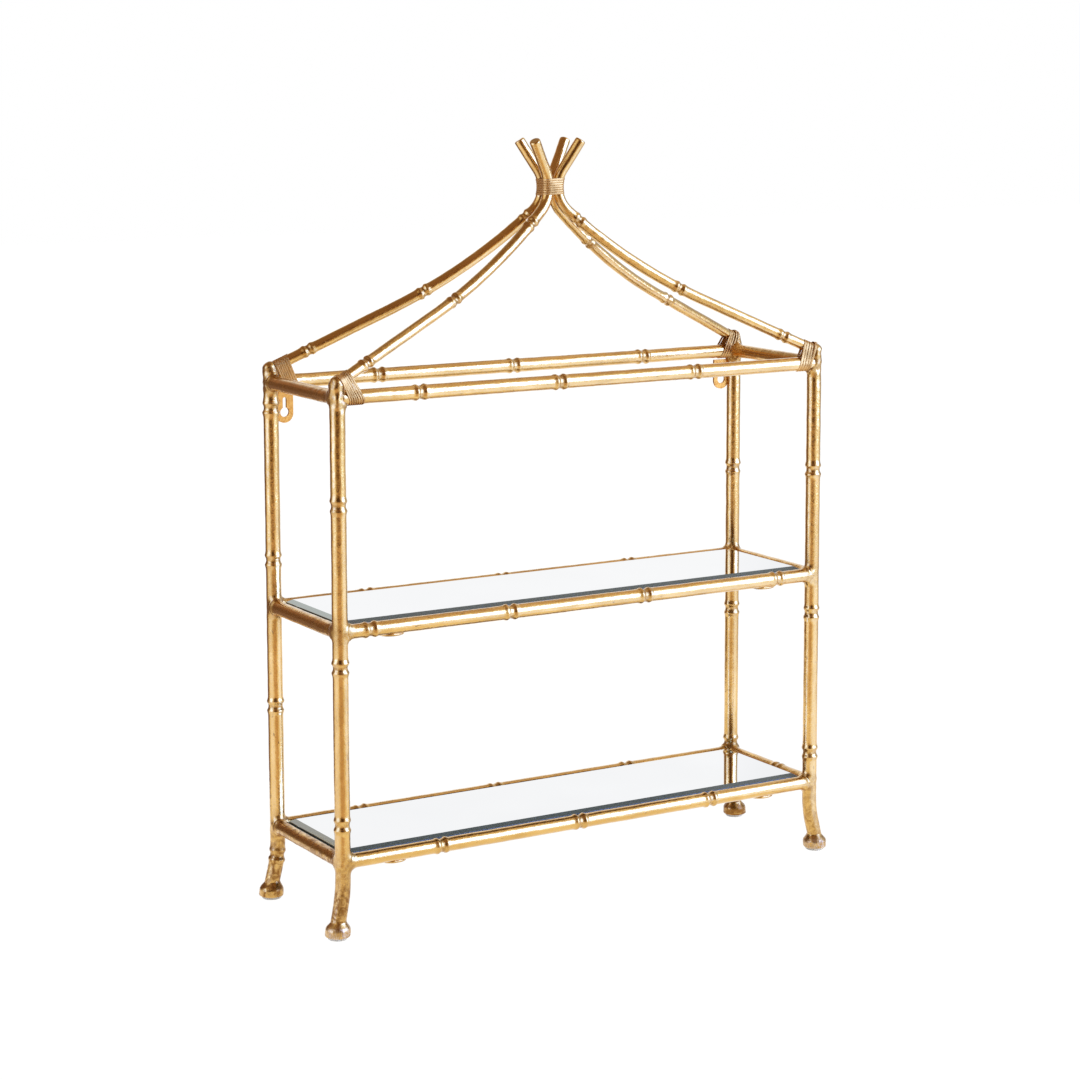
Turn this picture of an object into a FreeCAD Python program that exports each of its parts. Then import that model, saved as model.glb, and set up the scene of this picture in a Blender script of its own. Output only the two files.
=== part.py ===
# Two-tier etagere of gilded metal bamboo: four posts with splayed legs, three levels of rails,
# two loose mirror shelves, and a pagoda roof of four bent poles bound together at the neck.
# Millimetres. +X is the viewer's right, +Y is the back, +Z is up. The origin is on the floor, mid-plan.
import FreeCAD, Part
import math
import os

Vector = FreeCAD.Vector
UP = Vector(0, 0, 1)

# Frame, measured between tube axes.
post_spacing_x = 476.0
post_spacing_y = 125.0
bottom_rail_height = 63.5
shelf_spacing = 192.5
elbow_rise = 11.5
neck_rise = 160.8

# Tubes and rods.
post_diameter = 12.7
rail_diameter = 12.2
pole_diameter = 9.5
tube_wall = 1.2

# Knuckles: each is a pair of rounded rings round the tube.
post_ring_height = 0.85
post_ring_width = 4.4
post_ring_spacing = 7.6
pole_ring_height = 0.8
pole_ring_width = 3.6
pole_ring_spacing = 6.2
ring_sink = 0.6

# Knuckle places, as shares of the post's height up to the top rail, of a rail from its left or
# front post, and of a roof pole's length from its elbow.
post_knuckle_shares = {
    "front_left": (0.212, 0.506, 0.804),
    "front_right": (0.204, 0.493, 0.785),
    "rear_left": (0.378, 0.661, 0.952),
    "rear_right": (0.164, 0.453, 0.754),
}
leg_knuckle_shares = {"rear_left": 0.34}
rail_knuckle_shares = {
    "top_front": (0.158, 0.439, 0.727),
    "top_rear": (0.214, 0.498, 0.784),
    "top_left": (),
    "top_right": (),
    "middle_front": (0.057, 0.336, 0.620, 0.916),
    "middle_rear": (0.185, 0.473, 0.754),
    "middle_left": (),
    "middle_right": (),
    "bottom_front": (0.193, 0.480, 0.766),
    "bottom_rear": (0.168, 0.454, 0.750),
    "bottom_left": (),
    "bottom_right": (0.384,),
}
pole_knuckle_shares = {
    "front_left": (0.101, 0.423, 0.747),
    "front_right": (0.100, 0.423, 0.756),
    "rear_left": (0.107, 0.440, 0.771),
    "rear_right": (0.308, 0.656),
}

# Legs and feet.
leg_bend_drop = 12.0
leg_splay_angle = 12.7
leg_plan_angle = 12.0
leg_bend_share = 0.5
foot_diameter = 21.5
foot_height = 15.5
foot_shoulder_height = 9.0
foot_waist_height = 6.0
foot_sole_diameter = 17.6
foot_top_land = 0.2
foot_lean_share = 0.75
pad_diameter = 16.8
pad_thickness = 2.4
pad_chamfer = 0.6

# Roof poles.
roof_sag_angle = 7.5
roof_sweep_radius = 505.0
neck_bend_radius = 28.0
pole_gap = 0.1
tip_angle = 32.0
tip_plan_angle = 24.0
tip_rise = 40.9

# Wire lashings.
wire_diameter = 1.15
wire_pitch = 1.6
wire_clearance = 0.1
corner_turns = 10
neck_turns = 9
lashing_setback = 8.5
run_share = 0.3
points_per_turn = 60

# Mirror shelves and the tabs that carry them.
mirror_thickness = 5.0
mirror_clearance = 0.5
bevel_width = 4.5
bevel_drop = 2.5
board_thickness = 7.0
board_inset = 2.0
tab_length = 16.0
tab_thickness = 3.0
tab_reach = 20.0
tab_lip = 3.0
tab_weld = 1.0
tab_corner = 2.5
tab_place = 50.0

# Keyhole hangers on the rear posts.
hanger_width = 16.0
hanger_thickness = 2.0
hanger_setback = 2.0
hanger_sink = 1.0
hanger_gap = 0.8
hanger_drop = 35.5
keyhole_drop = 26.4
keyhole_head_diameter = 8.3
keyhole_slot_width = 3.5
keyhole_slot_length = 12.8

# How far cutting shapes run past what they cut.
overrun = 5.0

# Worked out from the sizes above.
post_radius = post_diameter / 2
rail_radius = rail_diameter / 2
pole_radius = pole_diameter / 2
wire_radius = wire_diameter / 2
rail_heights = {
    "bottom": bottom_rail_height,
    "middle": bottom_rail_height + shelf_spacing,
    "top": bottom_rail_height + 2 * shelf_spacing,
}
top_rail_height = rail_heights["top"]
elbow_height = top_rail_height + elbow_rise
neck_height = top_rail_height + neck_rise
leg_bend_height = bottom_rail_height - leg_bend_drop
mirror_inset = rail_radius + post_ring_height + mirror_clearance
tab_drop = rail_radius - tab_weld
corners = {
    "front_left": (-1, -1),
    "front_right": (1, -1),
    "rear_left": (-1, 1),
    "rear_right": (1, 1),
}


def corner_point(signs, height):
    """The point on a post's axis at a height."""
    return Vector(signs[0] * post_spacing_x / 2, signs[1] * post_spacing_y / 2, height)


def line(start, end):
    return Part.LineSegment(start, end).toShape()


def arc(start, middle, end):
    return Part.Arc(start, middle, end).toShape()


def put(shape, base, direction):
    """Stand a shape that was made along +Z on a base point, along another direction."""
    shape.Placement = FreeCAD.Placement(base, FreeCAD.Rotation(UP, direction))
    return shape


def ring_bumps(centre, radius, height, width, spacing):
    """Profile edges of one knuckle: two rounded rings, with the tube's own line between them."""
    edges = []
    for ring in (centre - spacing / 2, centre + spacing / 2):
        low = Vector(radius, 0, ring - width / 2)
        high = Vector(radius, 0, ring + width / 2)
        if edges:
            edges.append(line(edges[-1].Vertexes[-1].Point, low))
        edges.append(arc(low, Vector(radius + height, 0, ring), high))
    return edges


def bamboo(length, radius, bore, knuckles, domed=False):
    """A straight bamboo tube along +Z, turned from its profile. A bore of zero makes it solid."""
    edges = [line(Vector(bore, 0, 0), Vector(radius, 0, 0))]
    for centre in sorted(knuckles):
        bumps = ring_bumps(centre, radius, post_ring_height, post_ring_width, post_ring_spacing)
        edges.append(line(edges[-1].Vertexes[-1].Point, bumps[0].Vertexes[0].Point))
        edges.extend(bumps)
    edges.append(line(edges[-1].Vertexes[-1].Point, Vector(radius, 0, length)))
    end = Vector(bore, 0, length)
    if domed:
        lean = math.sin(math.pi / 4)
        end = Vector(0, 0, length + radius)
        edges.append(arc(Vector(radius, 0, length), Vector(radius * lean, 0, length + radius * lean), end))
    else:
        edges.append(line(Vector(radius, 0, length), end))
    edges.append(line(end, Vector(bore, 0, 0)))
    return Part.Face(Part.Wire(edges)).revolve(Vector(0, 0, 0), UP, 360).Solids[0]


def sweep(edges, radius):
    """A round rod along a path of lines and tangent arcs."""
    first = edges[0]
    place = first.FirstParameter
    circle = Part.makeCircle(radius, first.valueAt(place), first.tangentAt(place))
    return Part.Wire(edges).makePipeShell([Part.Wire([circle])], True, False)


def station(edges, share):
    """The point and direction at a share of a path's length."""
    left = share * sum(edge.Length for edge in edges)
    for edge in edges:
        if left <= edge.Length:
            break
        left -= edge.Length
    place = edge.getParameterByLength(left)
    return edge.valueAt(place), edge.tangentAt(place)


def knuckle_on_path(edges, share, radius, height, width, spacing):
    """The two rings of a knuckle as solid discs, for fusing to a bent rod."""
    edge_radius = radius - ring_sink
    low = Vector(0, 0, -width / 2)
    high = Vector(0, 0, width / 2)
    low_edge = Vector(edge_radius, 0, -width / 2)
    high_edge = Vector(edge_radius, 0, width / 2)
    crown = Vector(radius + height, 0, 0)
    profile = Part.Wire([
        line(low, low_edge), arc(low_edge, crown, high_edge), line(high_edge, high), line(high, low),
    ])
    disc = Part.Face(profile).revolve(Vector(0, 0, 0), UP, 360).Solids[0]
    point, direction = station(edges, share)
    offsets = (-spacing / 2, spacing / 2)
    return [put(disc.copy(), point + direction * offset, direction) for offset in offsets]


def leg_path(signs):
    """From the bend under the bottom rail: an arc outwards, then straight down to the floor."""
    plan = math.radians(leg_plan_angle)
    out = Vector(signs[0] * math.cos(plan), signs[1] * math.sin(plan), 0)
    splay = math.radians(leg_splay_angle)
    arc_drop = leg_bend_share * leg_bend_height
    radius = arc_drop / math.sin(splay)
    start = corner_point(signs, leg_bend_height)

    def on_arc(angle):
        return start + out * (radius * (1 - math.cos(angle))) - UP * (radius * math.sin(angle))

    bend_end = on_arc(splay)
    floor = bend_end + out * (bend_end.z * math.tan(splay)) - UP * bend_end.z
    return [arc(start, on_arc(splay / 2), bend_end), line(bend_end, floor)]


def leg_axis_at(signs, height):
    """The point on the straight part of a leg at a height."""
    run = leg_path(signs)[1]
    top, floor = (vertex.Point for vertex in run.Vertexes)
    return floor + (top - floor) * (height / top.z)


def make_post(name):
    """Outer form and finished tube of one post, from the foot to its rounded top."""
    signs = corners[name]
    base = corner_point(signs, leg_bend_height)
    length = elbow_height - leg_bend_height
    bore = post_radius - tube_wall
    knuckles = [share * top_rail_height - leg_bend_height for share in post_knuckle_shares[name]]
    path = leg_path(signs)
    outer = put(bamboo(length, post_radius, 0, knuckles, domed=True), base, UP).fuse(sweep(path, post_radius))
    if name in leg_knuckle_shares:
        rings = knuckle_on_path(path, leg_knuckle_shares[name], post_radius,
                                post_ring_height, post_ring_width, post_ring_spacing)
        outer = outer.fuse(rings)
    inner = put(bamboo(length, bore, 0, [], domed=True), base, UP).fuse(sweep(path, bore))
    below = Part.makeBox(foot_diameter * 2, foot_diameter * 2, foot_height + overrun)
    below.translate(leg_axis_at(signs, 0) - Vector(foot_diameter, foot_diameter, overrun))
    outer = outer.cut(below).removeSplitter()
    return outer, outer.cut(inner).removeSplitter()


def make_foot(signs):
    """A hoof turned about an upright axis, flat where the leg stands on it."""
    axis = leg_axis_at(signs, foot_height * foot_lean_share)
    leg_axis = leg_axis_at(signs, foot_height)
    leg_offset = math.hypot(axis.x - leg_axis.x, axis.y - leg_axis.y)
    leg_reach = post_radius / math.cos(math.radians(leg_splay_angle))
    top_radius = leg_reach + leg_offset + foot_top_land
    foot_radius = foot_diameter / 2
    sole_radius = foot_sole_diameter / 2
    lean = math.sin(math.pi / 4)
    waist_mid = foot_waist_height - (foot_waist_height - pad_thickness) * lean
    shoulder_mid = foot_shoulder_height + (foot_height - foot_shoulder_height) * lean
    bottom = Vector(0, 0, pad_thickness)
    sole = Vector(sole_radius, 0, pad_thickness)
    waist = Vector(foot_radius, 0, foot_waist_height)
    shoulder = Vector(foot_radius, 0, foot_shoulder_height)
    rim = Vector(top_radius, 0, foot_height)
    top = Vector(0, 0, foot_height)
    waist_bulge = Vector(sole_radius + (foot_radius - sole_radius) * lean, 0, waist_mid)
    shoulder_bulge = Vector(top_radius + (foot_radius - top_radius) * lean, 0, shoulder_mid)
    profile = Part.Wire([
        line(bottom, sole), arc(sole, waist_bulge, waist), line(waist, shoulder),
        arc(shoulder, shoulder_bulge, rim), line(rim, top), line(top, bottom),
    ])
    foot = Part.Face(profile).revolve(Vector(0, 0, 0), UP, 360).Solids[0]
    foot.translate(Vector(axis.x, axis.y, 0))
    pad_radius = pad_diameter / 2
    pad = Part.makeCylinder(pad_radius, pad_thickness, Vector(axis.x, axis.y, 0))
    rim_edges = [edge for edge in pad.Edges if edge.BoundBox.ZMax < pad_thickness / 2]
    return foot, pad.makeChamfer(pad_chamfer, rim_edges)


def make_long_rail(level, side, bore):
    """A front or rear rail between the post axes."""
    y = (-1 if side == "front" else 1) * post_spacing_y / 2
    knuckles = [share * post_spacing_x for share in rail_knuckle_shares[level + "_" + side]]
    tube = bamboo(post_spacing_x, rail_radius, bore, knuckles)
    return put(tube, Vector(-post_spacing_x / 2, y, rail_heights[level]), Vector(1, 0, 0))


def make_side_rail(level, side, bore):
    """A left or right rail between the post axes."""
    x = (-1 if side == "left" else 1) * post_spacing_x / 2
    knuckles = [share * post_spacing_y for share in rail_knuckle_shares[level + "_" + side]]
    tube = bamboo(post_spacing_y, rail_radius, bore, knuckles)
    return put(tube, Vector(x, -post_spacing_y / 2, rail_heights[level]), Vector(0, 1, 0))


def roof_geometry(signs):
    """A roof pole's ends, its direction in plan, its first slope and its steepest slope."""
    start = corner_point(signs, elbow_height)
    offset = (pole_diameter + pole_gap) / 2
    neck = Vector(signs[0] * offset, signs[1] * offset, neck_height)
    run = math.hypot(neck.x - start.x, neck.y - start.y)
    rise = neck_height - elbow_height
    inward = Vector((neck.x - start.x) / run, (neck.y - start.y) / run, 0)
    sag = math.radians(roof_sag_angle)
    slope = math.atan2(rise, run) - sag
    drop = neck_bend_radius * math.sin(slope) + math.hypot(run, rise) * math.sin(sag)
    steep = slope + math.acos((roof_sweep_radius - drop) / (roof_sweep_radius - neck_bend_radius))
    return start, neck, inward, slope, steep


def pole_path(signs):
    """A straight start, a long sweep, a tight bend to upright at the neck, then the flared tip."""
    start, neck, inward, slope, steep = roof_geometry(signs)

    def on_bend(angle):
        back = neck_bend_radius * (1 - math.sin(angle))
        down = neck_bend_radius * math.cos(angle)
        return neck - inward * back - UP * down

    bend_start = on_bend(steep)
    bend_middle = on_bend((steep + math.pi / 2) / 2)

    def back_along_sweep(angle):
        back = roof_sweep_radius * (math.sin(steep) - math.sin(angle))
        down = roof_sweep_radius * (math.cos(angle) - math.cos(steep))
        return bend_start - inward * back - UP * down

    sweep_start = back_along_sweep(slope)
    plan = math.radians(tip_plan_angle)
    out = Vector(signs[0] * math.cos(plan), signs[1] * math.sin(plan), 0)
    flare = math.radians(tip_angle)

    def on_flare(angle):
        reach = neck_bend_radius * (1 - math.cos(angle))
        climb = neck_bend_radius * math.sin(angle)
        return neck + out * reach + UP * climb

    flare_end = on_flare(flare)
    rest = neck_height + tip_rise - flare_end.z
    tip = flare_end + out * (rest * math.tan(flare)) + UP * rest
    return [
        line(start, sweep_start),
        arc(sweep_start, back_along_sweep((slope + steep) / 2), bend_start),
        arc(bend_start, bend_middle, neck),
        arc(neck, on_flare(flare / 2), flare_end),
        line(flare_end, tip),
    ]


def make_pole(name, post_outer):
    """A bent roof pole with its knuckles, fitted to the rounded top of its post."""
    path = pole_path(corners[name])
    pole = sweep(path, pole_radius)
    for share in pole_knuckle_shares[name]:
        rings = knuckle_on_path(path, share, pole_radius,
                                pole_ring_height, pole_ring_width, pole_ring_spacing)
        pole = pole.fuse(rings)
    return pole.cut(post_outer).removeSplitter()


def biarc(start, start_way, end, end_way):
    """Two arcs with a shared tangent, from start along one direction to end along another."""
    across = end - start
    ways = start_way + end_way
    square = 2 * (1 - start_way.dot(end_way))
    along = across.dot(ways)
    reach = (math.sqrt(along * along + square * across.dot(across)) - along) / square
    knot = (start + end + (start_way - end_way) * reach) / 2
    edges = []
    for point, way, other in ((start, start_way, knot), (knot, None, end)):
        if way is None:
            way = (end - end_way * reach - knot).normalize()
        chord = other - point
        normal = (chord - way * chord.dot(way)).normalize()
        turn = 2 * math.atan2(chord.dot(normal), chord.dot(way))
        radius = chord.Length / (2 * math.sin(turn / 2))
        forward = radius * math.sin(turn / 2)
        aside = radius * (1 - math.cos(turn / 2))
        edges.append(arc(point, point + way * forward + normal * aside, other))
    return edges


def wind(runs):
    """Path of one unbroken wire: straight runs, each bent into the next by two arcs."""
    edges = []
    for (start, end), (next_start, next_end) in zip(runs, runs[1:]):
        way = (end - start).normalize()
        next_way = (next_end - next_start).normalize()
        edges.append(line(start, end))
        edges.extend(biarc(end, way, next_start, next_way))
    edges.append(line(*runs[-1]))
    return edges


def corner_lashing_runs(signs):
    """Straight runs of the wire up and down between a top rail and the roof pole above it."""
    pole_start, _, inward, slope, _ = roof_geometry(signs)
    rail_start = corner_point(signs, top_rail_height)
    rail_way = Vector(-signs[0], 0, 0)
    pole_way = inward * math.cos(slope) + UP * math.sin(slope)
    advance = (rail_way + pole_way).normalize()
    lean = advance.dot(rail_way)
    rail_loop = rail_radius / lean + wire_clearance + wire_radius
    pole_loop = pole_radius / lean + wire_clearance + wire_radius
    middle = (pole_start + rail_start) / 2

    def side_points(turns, side):
        """Where the wire leaves the rail and meets the pole, on one side, after some turns."""
        plane = middle + advance * (lashing_setback + wire_pitch * turns)
        rail_centre = rail_start + rail_way * ((plane - rail_start).dot(advance) / lean)
        pole_centre = pole_start + pole_way * ((plane - pole_start).dot(advance) / lean)
        apart = pole_centre - rail_centre
        tuck = (rail_loop - pole_loop) / apart.Length
        apart.normalize()
        out = apart * tuck + advance.cross(apart) * (side * math.sqrt(1 - tuck * tuck))
        return rail_centre + out * rail_loop, pole_centre + out * pole_loop

    runs = []
    for turn in range(corner_turns):
        rail_point = side_points(turn, 1)[0]
        pole_point = side_points(turn + run_share, 1)[1]
        runs.append((rail_point, pole_point))
        pole_point = side_points(turn + 1 / 2, -1)[1]
        rail_point = side_points(turn + 1 / 2 + run_share, -1)[0]
        runs.append((pole_point, rail_point))
    return runs


def neck_lashing_runs():
    """Straight runs of the wire along the four flats of the bundled poles."""
    around = ("front_right", "rear_right", "rear_left", "front_left")
    flats = (Vector(1, 0, 0), Vector(0, 1, 0), Vector(-1, 0, 0), Vector(0, -1, 0))
    plan = math.radians(tip_plan_angle)
    start_height = neck_height - neck_turns * wire_pitch / 2

    def pole_centre(index, turns):
        """The axis of a pole inside the binding, where it leans out above and below the middle."""
        signs = corners[around[index % 4]]
        _, neck, inward, _, _ = roof_geometry(signs)
        climb = start_height + turns * wire_pitch - neck_height
        lean = neck_bend_radius - math.sqrt(neck_bend_radius ** 2 - climb ** 2)
        out = inward * -1
        if climb > 0:
            out = Vector(signs[0] * math.cos(plan), signs[1] * math.sin(plan), 0)
        slant = math.sqrt(1 - (climb / neck_bend_radius) ** 2)
        return neck + UP * climb + out * lean, pole_radius / slant + wire_clearance + wire_radius

    runs = []
    for step in range(4 * neck_turns):
        leave, leave_loop = pole_centre(step, step / 4)
        meet, meet_loop = pole_centre(step + 1, (step + run_share * 2) / 4)
        flat = flats[step % 4]
        runs.append((leave + flat * leave_loop, meet + flat * meet_loop))
    return runs


def least_gap(edges, turns):
    """The smallest space between one turn of a wire and another, measured on points along it."""
    points = Part.Wire(edges).discretize(Number=turns * points_per_turn)
    skip = points_per_turn // 2
    gaps = []
    for place, near in enumerate(points):
        gaps.extend((far - near).Length for far in points[place + skip:])
    return min(gaps) - wire_diameter


def rectangle(half_x, half_y, height):
    around = ((-1, -1), (1, -1), (1, 1), (-1, 1), (-1, -1))
    return Part.makePolygon([Vector(x * half_x, y * half_y, height) for x, y in around])


def make_shelf(level):
    """A mirror with bevelled edges and the board under it, lying on the tabs."""
    base = rail_heights[level] - tab_drop
    half_x = post_spacing_x / 2 - mirror_inset
    half_y = post_spacing_y / 2 - mirror_inset
    underside = base + board_thickness
    top = underside + mirror_thickness
    mirror = Part.makeLoft([
        rectangle(half_x, half_y, underside),
        rectangle(half_x, half_y, top - bevel_drop),
        rectangle(half_x - bevel_width, half_y - bevel_width, top),
    ], True, True)
    board_x = half_x - board_inset
    board_y = half_y - board_inset
    board = Part.makeBox(2 * board_x, 2 * board_y, board_thickness, Vector(-board_x, -board_y, base))
    return mirror, board


def make_tab(level, signs, rail_outer):
    """A flat strip welded under a rail, reaching in under the shelf."""
    depth = tab_lip + tab_reach
    tab = Part.makeBox(tab_length, depth, tab_thickness)
    upright = [edge for edge in tab.Edges if edge.BoundBox.ZLength > tab_thickness / 2]
    tab = tab.makeFillet(tab_corner, upright)
    rail_y = signs[1] * post_spacing_y / 2
    low_y = rail_y - tab_lip if signs[1] < 0 else rail_y - tab_reach
    middle_x = signs[0] * (post_spacing_x / 2 - tab_place)
    tab.translate(Vector(middle_x - tab_length / 2, low_y, rail_heights[level] - tab_drop - tab_thickness))
    return tab.cut(rail_outer)


def make_hanger(signs, post_outer):
    """A keyhole plate welded to the inner side of a rear post."""
    half = hanger_width / 2
    centre_x = signs[0] * (post_spacing_x / 2 - post_radius - half + hanger_sink)
    front = post_spacing_y / 2 + hanger_setback - hanger_thickness / 2
    top = top_rail_height - rail_radius - wire_diameter - wire_clearance - hanger_gap
    round_height = top_rail_height - hanger_drop + half
    head_height = top_rail_height - keyhole_drop

    def at(x, height):
        return Vector(centre_x + x, front, height)

    outline = Part.Wire([
        line(at(-half, top), at(-half, round_height)),
        arc(at(-half, round_height), at(0, round_height - half), at(half, round_height)),
        line(at(half, round_height), at(half, top)),
        line(at(half, top), at(-half, top)),
    ])
    plate = Part.Face(outline).extrude(Vector(0, hanger_thickness, 0))
    back = Vector(0, 1, 0)
    reach = hanger_thickness + 2 * overrun
    slot_half = keyhole_slot_width / 2
    slot_top = keyhole_slot_length - slot_half
    start = at(0, head_height) - back * overrun
    hole = Part.makeCylinder(keyhole_head_diameter / 2, reach, start, back)
    slot = Part.makeBox(keyhole_slot_width, reach, slot_top, start - Vector(slot_half, 0, 0))
    slot_end = Part.makeCylinder(slot_half, reach, start + UP * slot_top, back)
    return plate.cut(hole).cut(slot).cut(slot_end).cut(post_outer)


def build():
    """Every piece of the etagere by name."""
    parts = {}
    post_outers = {}
    for name, signs in corners.items():
        post_outers[name], parts["post_" + name] = make_post(name)
        parts["foot_" + name], parts["foot_pad_" + name] = make_foot(signs)
    all_posts = list(post_outers.values())

    rail_bore = rail_radius - tube_wall
    rail_outers = {}
    for level in rail_heights:
        for side in ("front", "rear"):
            rail_outers[level, side] = make_long_rail(level, side, 0)
            parts["rail_" + level + "_" + side] = make_long_rail(level, side, rail_bore).cut(all_posts)
        crossing = [rail_outers[level, "front"], rail_outers[level, "rear"]] + all_posts
        for side in ("left", "right"):
            parts["rail_" + level + "_" + side] = make_side_rail(level, side, rail_bore).cut(crossing)

    for name, signs in corners.items():
        parts["roof_pole_" + name] = make_pole(name, post_outers[name])
        edges = wind(corner_lashing_runs(signs))
        parts["lashing_" + name] = sweep(edges, wire_radius)
        print("lashing_" + name, "least gap to itself", round(least_gap(edges, corner_turns), 3))
    edges = wind(neck_lashing_runs())
    parts["neck_lashing"] = sweep(edges, wire_radius)
    print("neck_lashing least gap to itself", round(least_gap(edges, neck_turns), 3))

    for level in ("middle", "bottom"):
        parts["mirror_" + level], parts["backing_board_" + level] = make_shelf(level)
        for name, signs in corners.items():
            side = name.split("_")[0]
            parts["tab_" + level + "_" + name] = make_tab(level, signs, rail_outers[level, side])

    parts["hanger_left"] = make_hanger(corners["rear_left"], post_outers["rear_left"])
    parts["hanger_right"] = make_hanger(corners["rear_right"], post_outers["rear_right"])
    return parts


os.makedirs("parts", exist_ok=True)
for part_name, part_shape in build().items():
    volume = round(part_shape.Volume)
    print(part_name, len(part_shape.Solids), "solid", volume, "mm3 valid", part_shape.isValid())
    part_shape.Solids[0].exportStep("parts/" + part_name + ".step")
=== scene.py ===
import math

import bpy
import numpy as np
from mathutils import Matrix, Vector, noise


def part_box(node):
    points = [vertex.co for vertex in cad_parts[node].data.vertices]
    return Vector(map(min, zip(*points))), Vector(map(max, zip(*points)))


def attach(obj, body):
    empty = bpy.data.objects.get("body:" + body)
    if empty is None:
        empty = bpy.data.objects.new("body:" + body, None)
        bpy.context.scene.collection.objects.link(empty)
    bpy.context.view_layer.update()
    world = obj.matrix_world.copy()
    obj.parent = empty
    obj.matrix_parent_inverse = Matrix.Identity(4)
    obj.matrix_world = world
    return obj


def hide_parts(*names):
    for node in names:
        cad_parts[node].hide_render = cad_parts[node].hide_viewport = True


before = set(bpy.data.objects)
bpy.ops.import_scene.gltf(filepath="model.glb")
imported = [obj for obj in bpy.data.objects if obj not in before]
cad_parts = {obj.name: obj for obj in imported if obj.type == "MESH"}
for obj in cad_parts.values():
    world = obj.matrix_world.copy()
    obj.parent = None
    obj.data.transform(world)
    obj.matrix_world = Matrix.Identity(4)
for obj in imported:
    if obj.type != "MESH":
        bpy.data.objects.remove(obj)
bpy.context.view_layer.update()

MM = 0.001
UP = np.array((0.0, 0.0, 1.0))

# Tubes and rods.
post_radius = 6.5 * MM
rail_radius = 6.1 * MM
pole_radius = 4.75 * MM
path_step = 0.8 * MM
sides_round = 40
upright_share = 0.9

# Knuckles: two ridges with a groove between them. The outer flank of a ridge is the gentler one.
post_ridge_height = 0.85 * MM
pole_ridge_height = 0.8 * MM
post_ridge_spacing = 7.8 * MM
pole_ridge_spacing = 6.2 * MM
outer_flank = 2.4 * MM
inner_flank = 1.5 * MM
groove_half_width = 2.4 * MM
uneven_ridge_share = 0.22
groove_depth = 0.4 * MM

# Knuckle places, as shares of the post's height up to the top rail, of a rail from its left or
# front post, and of a roof pole's length from its elbow.
post_knuckle_shares = {
    "front_left": (0.212, 0.506, 0.804),
    "front_right": (0.204, 0.493, 0.785),
    "rear_left": (0.378, 0.661, 0.952),
    "rear_right": (0.164, 0.453, 0.754),
}
leg_knuckle_share = 0.34
rail_knuckle_shares = {
    "top_front": (0.158, 0.439, 0.727),
    "top_rear": (0.214, 0.498, 0.784),
    "top_left": (),
    "top_right": (),
    "middle_front": (0.057, 0.336, 0.620, 0.916),
    "middle_rear": (0.185, 0.473, 0.754),
    "middle_left": (),
    "middle_right": (),
    "bottom_front": (0.193, 0.480, 0.766),
    "bottom_rear": (0.168, 0.454, 0.750),
    "bottom_left": (),
    "bottom_right": (0.384,),
}
pole_knuckle_shares = {
    "front_left": (0.101, 0.423, 0.747),
    "front_right": (0.100, 0.423, 0.756),
    "rear_left": (0.107, 0.440, 0.771),
    "rear_right": (0.308, 0.656),
}

# Legs, roof and lashings.
leg_bend_drop = 12.0 * MM
leg_splay = math.radians(12.7)
leg_plan = math.radians(12.0)
leg_bend_share = 0.5
elbow_rise = 11.5 * MM
neck_rise = 160.8 * MM
roof_sag = math.radians(7.5)
roof_sweep_radius = 505.0 * MM
neck_bend_radius = 28.0 * MM
pole_offset = 4.8 * MM
tip_angle = math.radians(32.0)
tip_plan = math.radians(24.0)
tip_rise = 40.4 * MM
wire_height = 0.36 * MM
wire_clearance = 0.12 * MM
crown_clearance = 0.5 * MM
group_gap = 0.4 * MM
uneven_pitch_share = 0.08
lashing_width = 14.2 * MM
lashing_groups = {
    "front_left": (5, 3),
    "front_right": (4, 2),
    "rear_left": (5, 3),
    "rear_right": (4, 2),
}
lashing_setbacks = {
    "front_left": 3.5 * MM,
    "front_right": 2.5 * MM,
    "rear_left": 7.0 * MM,
    "rear_right": 1.0 * MM,
}
lashing_lean_share = 0.9
neck_turns = 7
neck_pitch = 2.0 * MM
loop_points = 96
wire_sides = 10

# Hand-made surface.
dent_size = 16.0 * MM
dent_depth = 0.16 * MM
ripple_size = 5.0 * MM
ripple_depth = 0.07 * MM
lump_size = 6.0 * MM
lump_depth = 0.75 * MM
fillet_reach = 6.4 * MM
fillet_rounds = 6
stub_length = 30.0 * MM
stub_gap = 2.0 * MM
bead_drop = 3.0 * MM
bead_radius = 4.0 * MM
dome_share = 0.97
dome_rings = 10
tip_rounding = 1.5 * MM
tip_rings = 6
rail_end_gap = 3.0 * MM
leg_overlap = 3.0 * MM

# How brown the leaf becomes in the grooves, on the ridges, by the welds and where it was molten.
groove_age_share = 0.6
ridge_age_share = 0.3
weld_age_share = 0.5
molten_age_share = 0.35
patina_size = 5.0 * MM
patina_spread_share = 0.3

# Where each kind of piece starts in the noise, so that no two look alike.
seed_step = 10
rail_seed = 50
pole_seed = 200
foot_seed = 300
foot_age_seed = 340
tab_seed = 400
tab_age_seed = 420

# Where the frame stands.
levels = ("bottom", "middle", "top")
corners = {
    "front_left": (-1, -1),
    "front_right": (1, -1),
    "rear_left": (-1, 1),
    "rear_right": (1, 1),
}


def middle_of(node):
    """The middle of a frame node's box."""
    low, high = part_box(node)
    return (low + high) / 2


post_x = middle_of("rail_top_right").x
post_y = middle_of("rail_top_rear").y
rail_heights = {level: middle_of("rail_" + level + "_front").z for level in levels}
elbow_height = rail_heights["top"] + elbow_rise
neck_height = rail_heights["top"] + neck_rise
leg_bend_height = rail_heights["bottom"] - leg_bend_drop


def corner_point(signs, height):
    return np.array((signs[0] * post_x, signs[1] * post_y, height))


def unit(vector):
    return vector / np.linalg.norm(vector, axis=-1, keepdims=True)


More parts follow.
